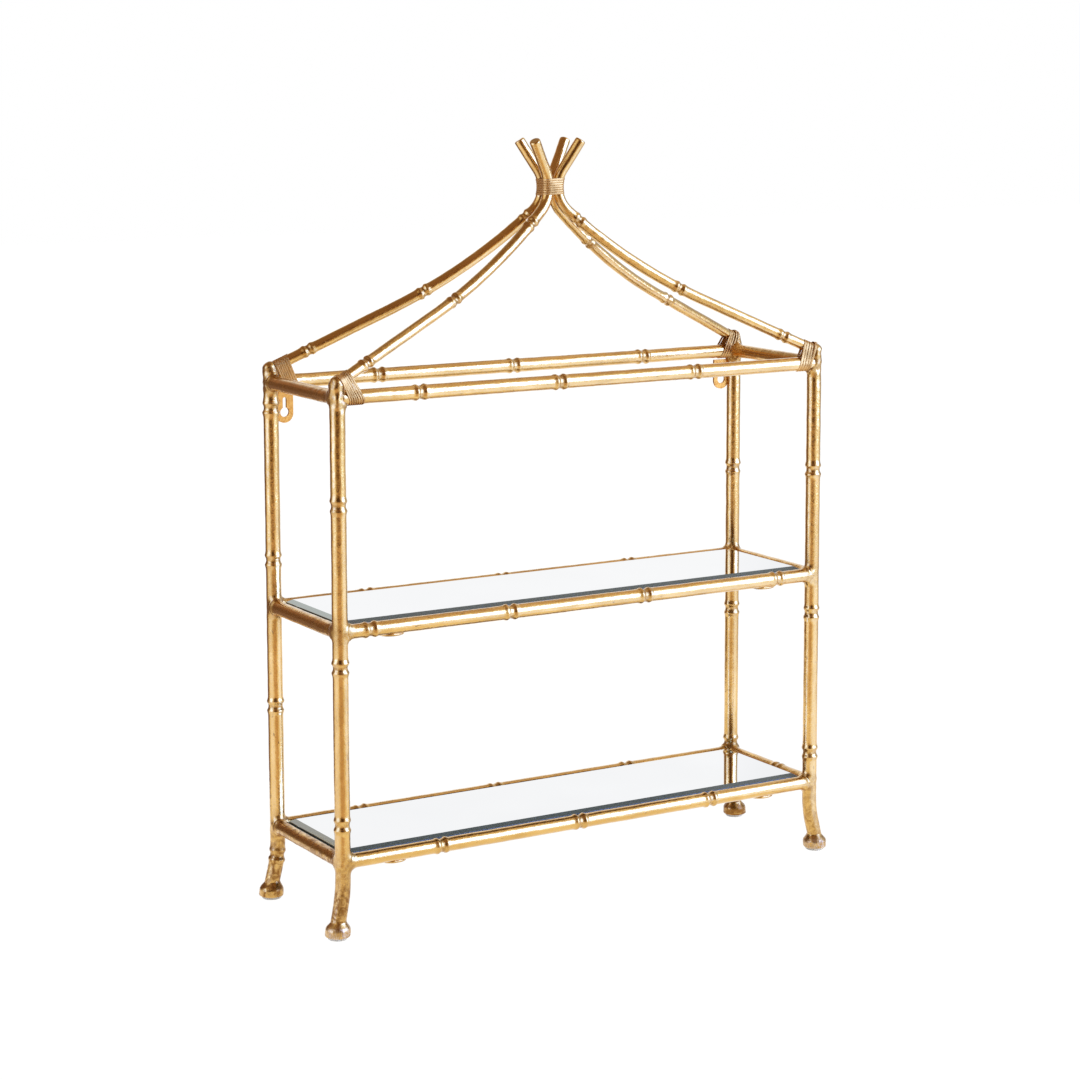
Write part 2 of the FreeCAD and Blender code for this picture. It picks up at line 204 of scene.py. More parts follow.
def trace(start, way, moves):
    """Points along a path. A move is a length straight on, or a bend: (towards, radius, angle)."""
    points = [np.array(start, float)]
    way = unit(np.array(way, float))
    for move in moves:
        base = points[-1]
        if isinstance(move, tuple):
            towards, radius, angle = move
            side = unit(towards - way * towards.dot(way))
            steps = max(2, round(radius * angle / path_step))
            for turn in np.linspace(0, angle, steps + 1)[1:]:
                forward = radius * math.sin(turn)
                aside = radius * (1 - math.cos(turn))
                points.append(base + way * forward + side * aside)
            way = way * math.cos(angle) + side * math.sin(angle)
        else:
            steps = max(2, round(move / path_step))
            for length in np.linspace(0, move, steps + 1)[1:]:
                points.append(base + way * length)
    return np.array(points)


def lengths_along(points):
    steps = np.linalg.norm(np.diff(points, axis=0), axis=1)
    return np.concatenate(([0.0], np.cumsum(steps)))


def cross_ways(points):
    """Two directions across a path at each of its points, carried along without twist."""
    ways = np.gradient(points, axis=0)
    ways /= np.linalg.norm(ways, axis=1)[:, None]
    side = np.cross(ways[0], UP if abs(ways[0][2]) < upright_share else np.array((1.0, 0.0, 0.0)))
    sides = []
    for way in ways:
        side = unit(side - way * side.dot(way))
        sides.append(side)
    sides = np.array(sides)
    return sides, np.cross(ways, sides)


def wobble(points, size, seed):
    """Smooth noise at each point, from about -1 to 1, with bumps of about that size."""
    shift = Vector((7.3 * seed, 3.1 * seed, 5.7 * seed))
    return np.array([noise.noise(Vector(point) / size + shift) for point in points])


def loft(name, rings):
    """A mesh object through rings of points, closed round and capped flat at both ends."""
    count, around, _ = rings.shape
    mesh = bpy.data.meshes.new(name)
    rows = np.arange(count - 1)[:, None] * around
    columns = np.arange(around)[None, :]
    nexts = (columns + 1) % around
    near = rows + columns
    beside = rows + nexts
    quads = np.stack((near, beside, beside + around, near + around), axis=2)
    faces = quads.reshape(-1, 4).tolist()
    first_cap = list(range(around))[::-1]
    last_cap = list(range((count - 1) * around, count * around))
    mesh.from_pydata(rings.reshape(-1, 3).tolist(), [], faces + [first_cap, last_cap])
    smooth = np.ones(len(faces) + 2, bool)
    smooth[-2:] = False
    mesh.polygons.foreach_set("use_smooth", smooth)
    piece = bpy.data.objects.new(name, mesh)
    bpy.context.scene.collection.objects.link(piece)
    return piece


def put_on(piece, node, body, slot, *materials):
    """Give a piece its materials, and let it stand for a frame node."""
    for material in materials:
        piece.data.materials.append(material)
    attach(piece, body)
    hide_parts(node)


def set_values(piece, kind, values, most=1.0):
    """How browned or worn the leaf is, as a point attribute that the gold reads."""
    attribute = piece.data.attributes.new(kind, "FLOAT", "POINT")
    attribute.data.foreach_set("value", np.clip(values, 0, most).astype(np.float32))


def set_straight(piece, places):
    """Places on a piece as if its path were straight, along Z, for the grain of the leaf."""
    attribute = piece.data.attributes.new("straight", "FLOAT_VECTOR", "POINT")
    attribute.data.foreach_set("vector", places.astype(np.float32).ravel())


def knuckle_profile(lengths, centres, height, spacing):
    """How far the ridges of the knuckles stand out along a tube, and how deep in a groove it is."""
    ridges = np.zeros_like(lengths)
    grooves = np.zeros_like(lengths)
    for centre in centres:
        for way in (-1, 1):
            offset = (lengths - centre) * way - spacing / 2
            flank = np.where(offset > 0, outer_flank, inner_flank)
            ridges += height * np.exp(-(offset / flank) ** 2)
        grooves += np.exp(-((lengths - centre) / groove_half_width) ** 2)
    return ridges - groove_depth * grooves, grooves


def fillet(skin, outward, neighbours):
    """How far a tube swells to meet the tubes it is welded to, and its gap to the nearest one."""
    rise = np.zeros(len(skin))
    nearest = np.ones(len(skin))
    for start, end, radius in neighbours:
        span = end - start
        shares = np.clip((skin - start) @ span / span.dot(span), 0, 1)
        offsets = skin - start - shares[:, None] * span
        distances = np.maximum(np.linalg.norm(offsets, axis=1), path_step)
        gap = np.clip(distances - radius, 0, None)
        facing = np.clip(np.sum(outward * offsets, axis=1) / distances, 0, 1)
        swell = np.zeros(len(skin))
        for _ in range(fillet_rounds):
            reach = np.clip(fillet_reach - np.maximum(gap, fillet_reach / 4) + swell, 0, None)
            swell = reach ** 2 / (4 * fillet_reach)
        rise = np.maximum(rise, swell * (1 - facing ** 2))
        nearest = np.minimum(nearest, gap)
    return rise, nearest


def bamboo(name, points, radii, knuckles, ridge_height, ridge_spacing,
           neighbours, lumps, aged, seed):
    """A hand-made bamboo tube along a path.

    neighbours are the tubes that this one is welded to, each a start, an end and a radius. lumps
    gives how molten the surface is at some points, and aged how brown the leaf has become there.
    """
    lengths = lengths_along(points)
    ridges, grooves = knuckle_profile(lengths, knuckles, ridge_height, ridge_spacing)
    sides, others = cross_ways(points)
    angles = np.linspace(0, 2 * math.pi, sides_round, endpoint=False)
    outward = (sides[:, None, :] * np.cos(angles)[None, :, None]
               + others[:, None, :] * np.sin(angles)[None, :, None])
    skin = (points[:, None, :] + outward * radii[:, None, None]).reshape(-1, 3)
    dents = wobble(skin, dent_size, seed)
    ripples = wobble(skin, ripple_size, seed + 1)
    molten = lumps(skin)
    blobs = wobble(skin, lump_size, seed + 2)
    swell, gap = fillet(skin, outward.reshape(-1, 3), neighbours)
    ridge = np.repeat(ridges, sides_round) * (1 + uneven_ridge_share * (dents + ripples))
    tight = np.repeat(np.minimum(1, radii / radii.max()), sides_round)
    rise = ridge + dent_depth * dents + ripple_depth * ripples + lump_depth * molten * blobs + swell
    skin = skin + outward.reshape(-1, 3) * (rise * tight)[:, None]
    piece = loft(name, skin.reshape(len(points), sides_round, 3))
    around = np.stack((np.cos(angles), np.sin(angles)), axis=1) * radii.max()
    across = np.tile(around, (len(points), 1))
    along = np.repeat(lengths, sides_round)[:, None]
    straight = np.concatenate((across, along), axis=1)
    set_straight(piece, straight + np.array((0, 0, seed)))
    knuckled = np.clip(np.repeat(ridges, sides_round) / ridge_height, 0, 1)
    browned = groove_age_share * np.repeat(grooves, sides_round) + ridge_age_share * knuckled
    browned = browned + weld_age_share * np.exp(-gap / fillet_reach)
    browned = browned + molten_age_share * molten + aged(skin)
    set_values(piece, "patina", browned)
    return piece


def post_gap(signs):
    """Distance from points to the surface of one post."""
    def gap(skin):
        aside = skin[:, 0] - signs[0] * post_x
        behind = skin[:, 1] - signs[1] * post_y
        return np.hypot(aside, behind) - post_radius
    return gap


def nowhere(skin):
    return np.zeros(len(skin))


def below(height, spread):
    """How far points are below a height, from 0 to 1."""
    def under(skin):
        return np.clip((height - skin[:, 2]) / spread, 0, 1)
    return under


def near_height(heights, spread):
    """How close points are to any of some heights, from 0 to 1."""
    def near(skin):
        offsets = [(skin[:, 2] - height) / spread for height in heights]
        return np.max([np.exp(-offset ** 2) for offset in offsets], axis=0)
    return near


def noise_node(tree, coordinates, scale, detail, roughness, distortion):
    node = tree.nodes.new("ShaderNodeTexNoise")
    node.inputs["Scale"].default_value = scale
    node.inputs["Detail"].default_value = detail
    node.inputs["Roughness"].default_value = roughness
    node.inputs["Distortion"].default_value = distortion
    tree.links.new(coordinates, node.inputs["Vector"])
    return node.outputs["Fac"]


def ramp_node(tree, value, stops):
    """A colour ramp over (place, colour) stops."""
    node = tree.nodes.new("ShaderNodeValToRGB")
    ramp = node.color_ramp
    while len(ramp.elements) < len(stops):
        ramp.elements.new(1.0)
    for element, (place, colour) in zip(ramp.elements, stops):
        element.position = place
        element.color = (*colour, 1.0)
    tree.links.new(value, node.inputs["Fac"])
    return node.outputs["Color"]


def range_node(tree, value, low, high, new_low, new_high):
    node = tree.nodes.new("ShaderNodeMapRange")
    node.inputs["From Min"].default_value = low
    node.inputs["From Max"].default_value = high
    node.inputs["To Min"].default_value = new_low
    node.inputs["To Max"].default_value = new_high
    tree.links.new(value, node.inputs["Value"])
    return node.outputs["Result"]


def math_node(tree, operation, first, second, clamp=False):
    node = tree.nodes.new("ShaderNodeMath")
    node.operation = operation
    node.use_clamp = clamp
    for place, value in enumerate((first, second)):
        if isinstance(value, (int, float)):
            node.inputs[place].default_value = value
        else:
            tree.links.new(value, node.inputs[place])
    return node.outputs["Value"]


def mix_node(tree, share, first, second):
    """Mix two colours, each a socket or a plain colour."""
    node = tree.nodes.new("ShaderNodeMix")
    node.data_type = "RGBA"
    tree.links.new(share, node.inputs["Factor"])
    for name, value in (("A", first), ("B", second)):
        socket = next(s for s in node.inputs if s.name == name and s.type == "RGBA")
        if isinstance(value, tuple):
            socket.default_value = (*value, 1.0)
        else:
            tree.links.new(value, socket)
    return next(s for s in node.outputs if s.type == "RGBA")


def bump_node(tree, height, strength, distance):
    node = tree.nodes.new("ShaderNodeBump")
    node.inputs["Strength"].default_value = strength
    node.inputs["Distance"].default_value = distance
    tree.links.new(height, node.inputs["Height"])
    return node.outputs["Normal"]


def cover(tree, shader, cloud, colours, roughness, end_roughness):
    """Colour and roughness that follow the same noise."""
    tree.links.new(ramp_node(tree, cloud, colours), shader.inputs["Base Color"])
    rough = range_node(tree, cloud, 0.3, 0.7, roughness, end_roughness)
    tree.links.new(rough, shader.inputs["Roughness"])


def start_material(name):
    material = bpy.data.materials.new(name)
    material.use_nodes = True
    tree = material.node_tree
    shader = tree.nodes["Principled BSDF"]
    place = tree.nodes.new("ShaderNodeTexCoord").outputs["Object"]
    return material, tree, shader, place


# How far the grain of the leaf is drawn out along a tube, and the depths of the fine relief.
grain_stretch_share = 0.28
leaf_relief = 0.19 * MM
wire_relief = 0.1 * MM
plate_relief = 0.2 * MM
board_relief = 0.3 * MM
pad_relief = 0.2 * MM


def gold_leaf():
    """Wrinkled gold leaf: patchy yellow to orange gold, brown in pits, grooves and welds."""
    material, tree, shader, _ = start_material("gold_leaf")
    straight = tree.nodes.new("ShaderNodeAttribute")
    straight.attribute_name = "straight"
    stretch = tree.nodes.new("ShaderNodeMapping")
    stretch.inputs["Scale"].default_value = (1.0, 1.0, grain_stretch_share)
    tree.links.new(straight.outputs["Vector"], stretch.inputs["Vector"])
    place = stretch.outputs["Vector"]
    patches = noise_node(tree, place, 75, 4, 0.6, 0.8)
    leaf = ramp_node(tree, patches, ((0.34, (0.67, 0.38, 0.08)), (0.52, (0.77, 0.455, 0.108)),
                                     (0.70, (0.86, 0.54, 0.155))))
    pits = range_node(tree, noise_node(tree, place, 520, 3, 0.6, 0.4), 0.35, 0.27, 0.0, 1.0)
    browned = tree.nodes.new("ShaderNodeAttribute")
    browned.attribute_name = "patina"
    blotches = noise_node(tree, straight.outputs["Vector"], 150, 6, 0.65, 1.0)
    stains = range_node(tree, blotches, 0.40, 0.62, 0.2, 1.15)
    patina = math_node(tree, "MULTIPLY", browned.outputs["Fac"], stains, clamp=True)
    colour = mix_node(tree, patina, leaf, (0.31, 0.127, 0.018))
    colour = mix_node(tree, math_node(tree, "MULTIPLY", pits, 0.75), colour, (0.16, 0.07, 0.013))
    worn = tree.nodes.new("ShaderNodeAttribute")
    worn.attribute_name = "worn"
    scrapes = range_node(tree, noise_node(tree, place, 420, 5, 0.65, 0.6), 0.40, 0.56, 0.0, 1.0)
    bare = math_node(tree, "MULTIPLY", worn.outputs["Fac"], scrapes, clamp=True)
    colour = mix_node(tree, bare, colour, (0.80, 0.61, 0.37))
    tree.links.new(colour, shader.inputs["Base Color"])
    shader.inputs["Metallic"].default_value = 1.0
    mottles = noise_node(tree, straight.outputs["Vector"], 480, 2, 0.5, 0.8)
    wrinkles = noise_node(tree, place, 240, 3, 0.55, 1.0)
    smooth = range_node(tree, patches, 0.3, 0.7, 0.24, 0.15)
    spoilt = math_node(tree, "ADD", patina, bare, clamp=True)
    dull_patina = math_node(tree, "MULTIPLY", patina, 0.26)
    dull_bare = math_node(tree, "MULTIPLY", bare, 0.42)
    dull = math_node(tree, "ADD", dull_patina, dull_bare)
    tree.links.new(math_node(tree, "ADD", smooth, dull, clamp=True), shader.inputs["Roughness"])
    height = math_node(tree, "ADD", wrinkles, math_node(tree, "MULTIPLY", mottles, 0.65))
    tree.links.new(bump_node(tree, height, 1.0, leaf_relief), shader.inputs["Normal"])
    tree.links.new(range_node(tree, spoilt, 0.0, 1.0, 1.0, 0.25), shader.inputs["Coat Weight"])
    shader.inputs["Coat Roughness"].default_value = 0.12
    return material


def lashing_wire():
    """Dull gilded wire, streaked brown along its length."""
    material, tree, shader, place = start_material("lashing_wire")
    streaks = noise_node(tree, place, 90, 3, 0.5, 0.6)
    colours = ((0.34, (0.53, 0.275, 0.066)), (0.5, (0.67, 0.36, 0.092)), (0.66, (0.79, 0.455, 0.13)))
    cover(tree, shader, streaks, colours, 0.58, 0.46)
    shader.inputs["Metallic"].default_value = 1.0
    fine = noise_node(tree, place, 600, 2, 0.5, 0.0)
    tree.links.new(bump_node(tree, fine, 0.2, wire_relief), shader.inputs["Normal"])
    return material


def plate_gold():
    """Flat gold paint of the hanger plates."""
    material, tree, shader, place = start_material("plate_gold")
    cloud = noise_node(tree, place, 300, 4, 0.6, 0.3)
    colours = ((0.35, (0.60, 0.24, 0.026)), (0.65, (0.74, 0.345, 0.046)))
    cover(tree, shader, cloud, colours, 0.42, 0.3)
    shader.inputs["Metallic"].default_value = 0.75
    fine = noise_node(tree, place, 1300, 3, 0.6, 0.0)
    tree.links.new(bump_node(tree, fine, 0.15, plate_relief), shader.inputs["Normal"])
    return material


silver_shade_share = 0.97
silver_haze = 1.4


def silvered_glass(name, colour, roughness):
    """Mirror glass with the faint unevenness of its silvering."""
    material, tree, shader, place = start_material(name)
    cloud = noise_node(tree, place, 9, 2, 0.5, 0.0)
    darker = tuple(silver_shade_share * part for part in colour)
    cover(tree, shader, cloud, ((0.3, darker), (0.7, colour)), roughness, roughness * silver_haze)
    shader.inputs["Metallic"].default_value = 1.0
    return material


def dark_glass(name, darker, lighter):
    """Dark glass in a colour of its own: the green of the glass at the edges, and a painted dark
    reflection on the front and rear bevels.
    """
    material, tree, shader, place = start_material(name)
    grind = noise_node(tree, place, 900, 4, 0.6, 0.0)
    cover(tree, shader, grind, ((0.3, darker), (0.7, lighter)), 0.15, 0.35)
    return material


def backing_paint():
    """Grey protective paint on the back of the silvering."""
    material, tree, shader, place = start_material("backing_paint")
    cloud = noise_node(tree, place, 120, 4, 0.6, 0.0)
    colours = ((0.3, (0.17, 0.17, 0.165)), (0.7, (0.24, 0.24, 0.23)))
    cover(tree, shader, cloud, colours, 0.55, 0.7)
    return material


def hardboard():
    """Brown hardboard with short fibres."""
    material, tree, shader, place = start_material("hardboard")
    fibres = noise_node(tree, place, 420, 6, 0.7, 2.0)
    colours = ((0.3, (0.085, 0.05, 0.028)), (0.55, (0.16, 0.1, 0.058)), (0.75, (0.24, 0.165, 0.1)))
    cover(tree, shader, fibres, colours, 0.65, 0.85)
    tree.links.new(bump_node(tree, fibres, 0.3, board_relief), shader.inputs["Normal"])
    return material


def pad_plastic():
    """Pale grey moulded glide, a little scuffed."""
    material, tree, shader, place = start_material("pad_plastic")
    scuffs = noise_node(tree, place, 700, 5, 0.65, 0.5)
    colours = ((0.3, (0.62, 0.62, 0.60)), (0.6, (0.80, 0.80, 0.78)))
    cover(tree, shader, scuffs, colours, 0.4, 0.6)
    tree.links.new(bump_node(tree, scuffs, 0.15, pad_relief), shader.inputs["Normal"])
    return material


gold = gold_leaf()
wire_metal = lashing_wire()

# Posts with their splayed legs.
weld_spread = 9 * MM
crown_spread = 10 * MM
leg_age_spread = 30 * MM
weld_lump_share = 0.6
crown_lump_share = 1.4
leg_age_shares = {"front_left": 1.0, "front_right": 0.62, "rear_left": 1.2, "rear_right": 1.0}
for seed, (corner, signs) in enumerate(corners.items()):
    out = np.array((signs[0] * math.cos(leg_plan), signs[1] * math.sin(leg_plan), 0.0))
    bend_drop = leg_bend_share * leg_bend_height
    bend_radius = bend_drop / math.sin(leg_splay)
    foot_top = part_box("foot_" + corner)[1].z
    straight = (leg_bend_height - bend_drop - foot_top) / math.cos(leg_splay) + leg_overlap
    bend = (out, bend_radius, leg_splay)
    leg = trace(corner_point(signs, leg_bend_height), -UP, [bend, straight])
    shaft = trace(corner_point(signs, leg_bend_height), UP, [elbow_height - leg_bend_height])
    dome_angles = np.linspace(0, math.pi / 2 * dome_share, dome_rings)[1:]
    dome = corner_point(signs, elbow_height) + UP * (post_radius * np.sin(dome_angles))[:, None]
    points = np.concatenate((leg[::-1], shaft[1:], dome))
    tube_radii = np.full(len(leg) + len(shaft) - 1, post_radius)
    radii = np.concatenate((tube_radii, post_radius * np.cos(dome_angles)))
    leg_length = lengths_along(leg)[-1]
    knuckles = [leg_length + share * rail_heights["top"] - leg_bend_height
                for share in post_knuckle_shares[corner]]
    if corner == "rear_left":
        knuckles.append(leg_length * (1 - leg_knuckle_share))
    welds = near_height([rail_heights["bottom"], rail_heights["middle"]], weld_spread)
    crown = near_height([rail_heights["top"], elbow_height], crown_spread)
    leg_age = below(rail_heights["bottom"], leg_age_spread)

    def post_lumps(skin, welds=welds, crown=crown):
        return weld_lump_share * welds(skin) + crown_lump_share * crown(skin)

    def post_age(skin, leg_age=leg_age, share=leg_age_shares[corner]):
        return share * leg_age(skin)

    along_side = np.array((0.0, -float(signs[1]), 0.0))
    along_front = np.array((-float(signs[0]), 0.0, 0.0))
    stubs = []
    for level, height in rail_heights.items():
        centre = corner_point(signs, height)
        welded = [(centre, along_side, rail_radius)]
        if level == "top":
            welded.append((centre - UP * bead_drop, along_front, bead_radius))
        else:
            welded.append((centre, along_front, rail_radius))
        for base, way, radius in welded:
            stubs.append((base + way * (post_radius + stub_gap), base + way * stub_length, radius))
    piece = bamboo("post_" + corner + "_leaf", points, radii, knuckles, post_ridge_height,
                   post_ridge_spacing, stubs, post_lumps, post_age, seed_step * seed)
    put_on(piece, "post_" + corner, "frame", "gilded_metal", gold)

# Rails. The left ones have a rough patch near the front and browner leaf.
rail_lump_share = 0.5
patch_lump_share = 0.45
patch_place = 22 * MM
patch_spread = 14 * MM
rail_age_shares = {"top_left": 0.2, "middle_left": 0.3, "bottom_left": 0.75}
for seed, (rail, shares) in enumerate(rail_knuckle_shares.items()):
    level, side = rail.split("_")
    height = rail_heights[level]
    if side in ("front", "rear"):
        signs = (-1, -1 if side == "front" else 1)
        far_signs = (1, signs[1])
    else:
        signs = (-1 if side == "left" else 1, -1)
        far_signs = (signs[0], 1)
    start = corner_point(signs, height)
    end = corner_point(far_signs, height)
    way = unit(end - start)
    span = np.linalg.norm(end - start)
    points = trace(start + way * rail_end_gap, way, [span - 2 * rail_end_gap])
    knuckles = [share * span - rail_end_gap for share in shares]
    near = post_gap(signs)
    far = post_gap(far_signs)

    def nearest_gap(skin, near=near, far=far):
        return np.minimum(near(skin), far(skin))

    def end_lumps(skin, nearest_gap=nearest_gap, near=near, side=side):
        lumps = rail_lump_share * np.exp(-np.clip(nearest_gap(skin), 0, None) / fillet_reach)
        if side == "left":
            offset = (near(skin) - patch_place) / patch_spread
            lumps = lumps + patch_lump_share * np.exp(-offset ** 2)
        return lumps

    def rail_age(skin, share=rail_age_shares.get(rail, 0.0)):
        return np.full(len(skin), share)

    posts = []
    lumps = nowhere
    if level != "top" or side in ("left", "right"):
        lumps = end_lumps
        for each in (signs, far_signs):
            posts.append((corner_point(each, 0.0), corner_point(each, elbow_height), post_radius))
    piece = bamboo("rail_" + rail + "_leaf", points, np.full(len(points), rail_radius), knuckles,
                   post_ridge_height, post_ridge_spacing, posts, lumps, rail_age,
                   rail_seed + seed_step * seed)
    put_on(piece, "rail_" + rail, "frame", "gilded_metal", gold)


def roof_way(signs):
    """A roof pole's direction in plan, its first and steepest slopes and its straight start."""
    across = post_x - pole_offset
    back = post_y - pole_offset
    run = math.hypot(across, back)
    rise = neck_height - elbow_height
    inward = np.array((-signs[0] * across / run, -signs[1] * back / run, 0.0))
    slope = math.atan2(rise, run) - roof_sag
    drop = neck_bend_radius * math.sin(slope) + math.hypot(run, rise) * math.sin(roof_sag)
    steep = slope + math.acos((roof_sweep_radius - drop) / (roof_sweep_radius - neck_bend_radius))
    sweep_rise = roof_sweep_radius * (math.cos(slope) - math.cos(steep))
    bend_rise = sweep_rise + neck_bend_radius * math.cos(steep)
    return inward, slope, steep, (rise - bend_rise) / math.sin(slope)


# Roof poles, crumpled a little below the neck.
crumple_drop = 32 * MM
crumple_spread = 16 * MM
crumple_share = 0.25
for seed, (corner, signs) in enumerate(corners.items()):
    inward, slope, steep, straight = roof_way(signs)
    out = np.array((signs[0] * math.cos(tip_plan), signs[1] * math.sin(tip_plan), 0.0))
    tip_length = (tip_rise - neck_bend_radius * math.sin(tip_angle)) / math.cos(tip_angle)
    way = inward * math.cos(slope) + UP * math.sin(slope)
    points = trace(corner_point(signs, elbow_height), way, [
        straight,
        (UP, roof_sweep_radius, steep - slope),
        (UP, neck_bend_radius, math.pi / 2 - steep),
        (out, neck_bend_radius, tip_angle),
        tip_length - tip_rounding,
    ])
    turns = np.linspace(0, math.pi / 2, tip_rings)[1:]
    end_way = unit(points[-1] - points[-2])
    end = points[-1] + end_way * (tip_rounding * np.sin(turns))[:, None]
    end_radii = pole_radius - tip_rounding * (1 - np.cos(turns))
    radii = np.concatenate((np.full(len(points), pole_radius), end_radii))
    points = np.concatenate((points, end))
    total = lengths_along(points)[-1]
    knuckles = [share * total for share in pole_knuckle_shares[corner]]
    crumple = near_height([neck_height - crumple_drop], crumple_spread)

    def pole_lumps(skin, crumple=crumple):
        return crumple_share * crumple(skin)

    piece = bamboo("roof_pole_" + corner + "_leaf", points, radii, knuckles,
                   pole_ridge_height, pole_ridge_spacing, [], pole_lumps, nowhere,
                   pole_seed + seed_step * seed)
    put_on(piece, "roof_pole_" + corner, "frame", "gilded_metal", gold)


def wrap_loop(outlines, reach):
    """A taut loop of evenly spaced points round some ellipses in a plane.

    Each ellipse is a centre and the matrix of its form.
    """
    angles = np.linspace(0, 2 * math.pi, 4 * loop_points, endpoint=False)
    normals = np.stack((np.cos(angles), np.sin(angles)), axis=1)
    best = np.full(len(angles), -np.inf)
    loop = np.zeros((len(angles), 2))
    for centre, form in outlines:
        support = normals @ form
        support /= np.sqrt(np.sum(support * normals, axis=1))[:, None]
        support = centre + support + normals * reach
        ahead = np.sum(support * normals, axis=1)
        loop[ahead > best] = support[ahead > best]
        best = np.maximum(best, ahead)
    closed = np.concatenate((loop, loop[:1]))
    places = lengths_along(closed)
    even = np.linspace(0, places[-1], loop_points, endpoint=False)
    return np.stack([np.interp(even, places, closed[:, axis]) for axis in (0, 1)], axis=1)


def wind(loops):
    """One unbroken wire that passes from each closed loop into the next."""
    points = []
    for loop, after in zip(loops, loops[1:]):
        shares = np.linspace(0, 1, len(loop), endpoint=False)[:, None]
        points.append(loop * (1 - shares) + after * shares)
    return np.concatenate(points)


def wire(name, points, axis, width):
    """A flattened wire that winds round an axis."""
    outward = unit(np.cross(np.gradient(points, axis=0), axis))
    angles = np.linspace(0, 2 * math.pi, wire_sides, endpoint=False)
    rings = (points[:, None, :] + axis * (width / 2 * np.cos(angles))[None, :, None]
             + outward[:, None, :] * (wire_height / 2 * np.sin(angles))[None, :, None])
    return loft(name, rings)


# Lashings of the roof poles to the top rails.
for seed, (corner, signs) in enumerate(corners.items()):
    inward, slope, _, _ = roof_way(signs)
    rail_start = corner_point(signs, rail_heights["top"])
    pole_start = corner_point(signs, elbow_height)
    rail_way = np.array((-float(signs[0]), 0.0, 0.0))
    pole_way = inward * math.cos(slope) + UP * math.sin(slope)
    advance = unit(rail_way * (1 - lashing_lean_share) + pole_way * lashing_lean_share)
    across = unit(UP - advance * advance.dot(UP))
    other = np.cross(advance, across)
    middle = (pole_start + rail_start) / 2
    loops = []
    reach = lashing_setbacks[corner]
    wire_pitch = lashing_width / sum(lashing_groups[corner])
    bound = ((rail_start, rail_way, rail_radius), (pole_start, pole_way, pole_radius))
    for group in lashing_groups[corner]:
        for turn in range(group):
            plane = middle + advance * reach
            outlines = []
            for base, way, radius in bound:
                lean = advance.dot(way)
                centre = base + way * ((plane - base).dot(advance) / lean) - plane
                slant = np.array((way.dot(across), way.dot(other))) / lean
                form = radius ** 2 * (np.eye(2) + np.outer(slant, slant))
                outlines.append((np.array((centre.dot(across), centre.dot(other))), form))
            crown = pole_start - plane
            crown_depth = (post_radius + crown_clearance) ** 2 - crown.dot(advance) ** 2
            if crown_depth > 0:
                crown_place = np.array((crown.dot(across), crown.dot(other)))
                outlines.append((crown_place, crown_depth * np.eye(2)))
            flat = wrap_loop(outlines, wire_height / 2 + wire_clearance)
            loops.append(plane + flat[:, :1] * across + flat[:, 1:] * other)
            uneven = noise.noise(Vector((turn, group, seed)))
            reach += wire_pitch * (1 + uneven_pitch_share * uneven)
        reach += group_gap
    piece = wire("lashing_" + corner + "_wire", wind(loops), advance, wire_pitch)
    put_on(piece, "lashing_" + corner, "frame", "lashing_wire", wire_metal)

# Lashing of the neck.
loops = []
for turn in range(neck_turns + 1):
    climb = (turn - neck_turns / 2) * neck_pitch
    lean_out = neck_bend_radius - math.sqrt(neck_bend_radius ** 2 - climb ** 2)
    outlines = []
    for signs in corners.values():
        inward = roof_way(signs)[0]
        out = np.array((signs[0] * math.cos(tip_plan), signs[1] * math.sin(tip_plan), 0.0))
        place = np.array((signs[0] * pole_offset, signs[1] * pole_offset, 0.0))
        place = place + (out if climb > 0 else -inward) * lean_out
        outlines.append((place[:2], pole_radius ** 2 * np.eye(2)))
    flat = wrap_loop(outlines, wire_height / 2 + wire_clearance)
    heights = np.full((len(flat), 1), neck_height + climb)
    loops.append(np.concatenate((flat, heights), axis=1))
piece = wire("neck_lashing_wire", wind(loops), UP, neck_pitch)
put_on(piece, "neck_lashing", "frame", "lashing_wire", wire_metal)

